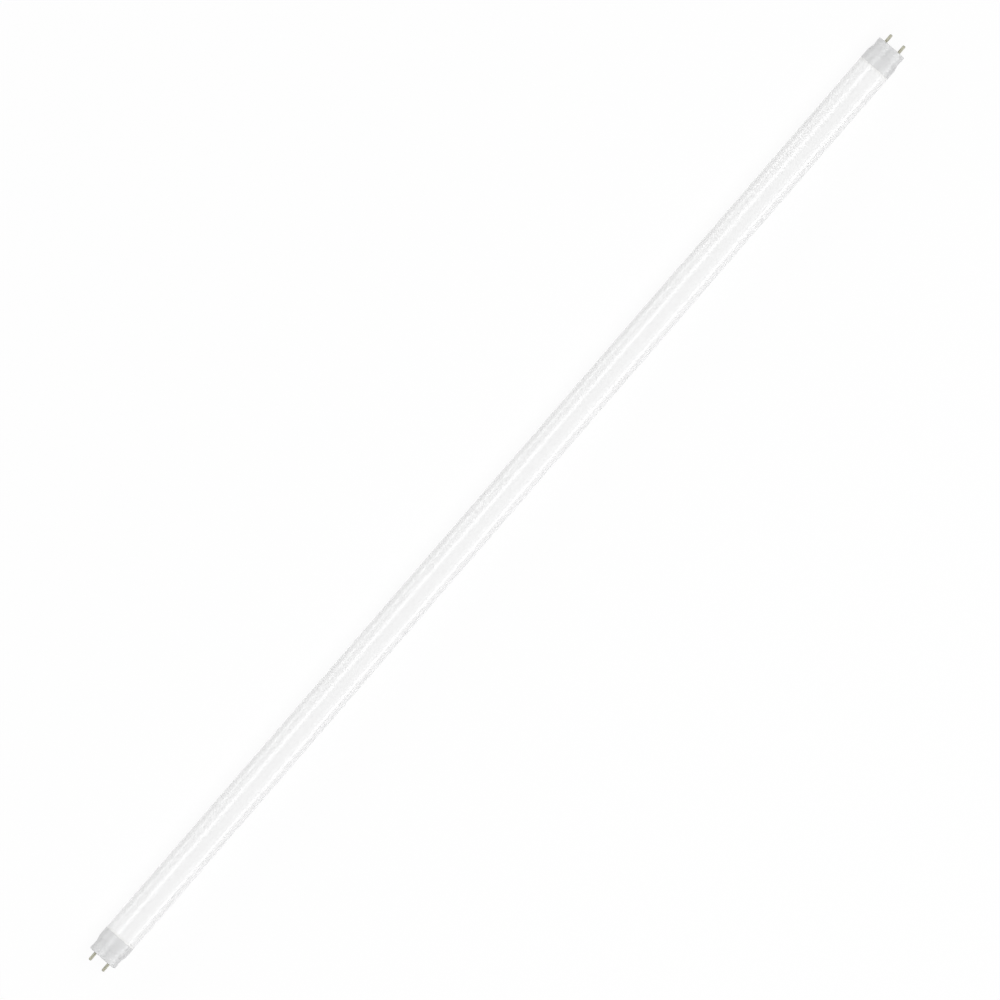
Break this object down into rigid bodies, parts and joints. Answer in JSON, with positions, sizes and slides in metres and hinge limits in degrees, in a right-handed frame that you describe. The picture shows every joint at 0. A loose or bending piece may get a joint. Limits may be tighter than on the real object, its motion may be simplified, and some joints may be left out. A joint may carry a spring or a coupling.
{
  "type": "led tube",
  "caption": "Straight opal glass LED tube with a grey moulded cap and a pair of brass contact pins on each end, driver inside.",
  "frame": {"origin": "middle of the tube's axis, half way between the two caps", "axes": "+X along the tube to the end that takes the mains; +Z to the tube's back, away from the lit side; the pins of each pair lie apart along Y"},
  "size_m": [0.9088, 0.026, 0.026],
  "materials": {
    "opal_glass": "opal white coat under glossy glass",
    "cap_plastic": "fine moulded satin",
    "cement": "cured white silicone",
    "pin_brass": "dull nickelled brass",
    "tinned_wire": "tinned",
    "led_board_white": "white solder mask",
    "silicone": "white silicone",
    "led_white": "moulded white",
    "led_phosphor": "yellow phosphor in clear resin",
    "circuit_board": "green solder mask",
    "sleeve_film": "milky film",
    "resistor_coat": "matt coat",
    "disc_coat": "dipped epoxy",
    "film_box": "moulded box",
    "ferrite": "sintered ferrite",
    "enamelled_copper": "enamelled copper wire",
    "can_sleeve": "shrunk film on an aluminium can",
    "bobbin_plastic": "moulded",
    "chip_plastic": "moulded epoxy",
    "header_plastic": "moulded"
  },
  "bodies": {
    "root": {"glass_tube": "opal_glass", "end_cap_input": "cap_plastic", "end_cap_far": "cap_plastic", "cap_cement_input": "cement", "cap_cement_far": "cement", "pin_input_left": "pin_brass", "pin_input_right": "pin_brass", "pin_far_left": "pin_brass", "pin_far_right": "pin_brass", "lead_input_left": "tinned_wire", "lead_input_right": "tinned_wire", "lead_far_left": "tinned_wire", "lead_far_right": "tinned_wire", "led_board": "led_board_white", "led_board_adhesive": "silicone", "led_bodies": "led_white", "led_phosphors": "led_phosphor", "driver_board": "circuit_board", "driver_sleeve": "sleeve_film", "input_fuse_resistor": "resistor_coat", "varistor": "disc_coat", "film_capacitor": "film_box", "filter_choke_core": "ferrite", "filter_choke_winding": "enamelled_copper", "bulk_capacitor": "can_sleeve", "power_choke_core": "ferrite", "power_choke_bobbin": "bobbin_plastic", "power_choke_winding": "enamelled_copper", "output_capacitor": "can_sleeve", "bridge_rectifier": "chip_plastic", "control_chip": "chip_plastic", "freewheel_diode": "chip_plastic", "link_header_input": "header_plastic", "link_pins_input": "tinned_wire", "terminal_board": "circuit_board", "terminal_fuse": "chip_plastic", "link_header_far": "header_plastic", "link_pins_far": "tinned_wire"}
  },
  "joints": []
}
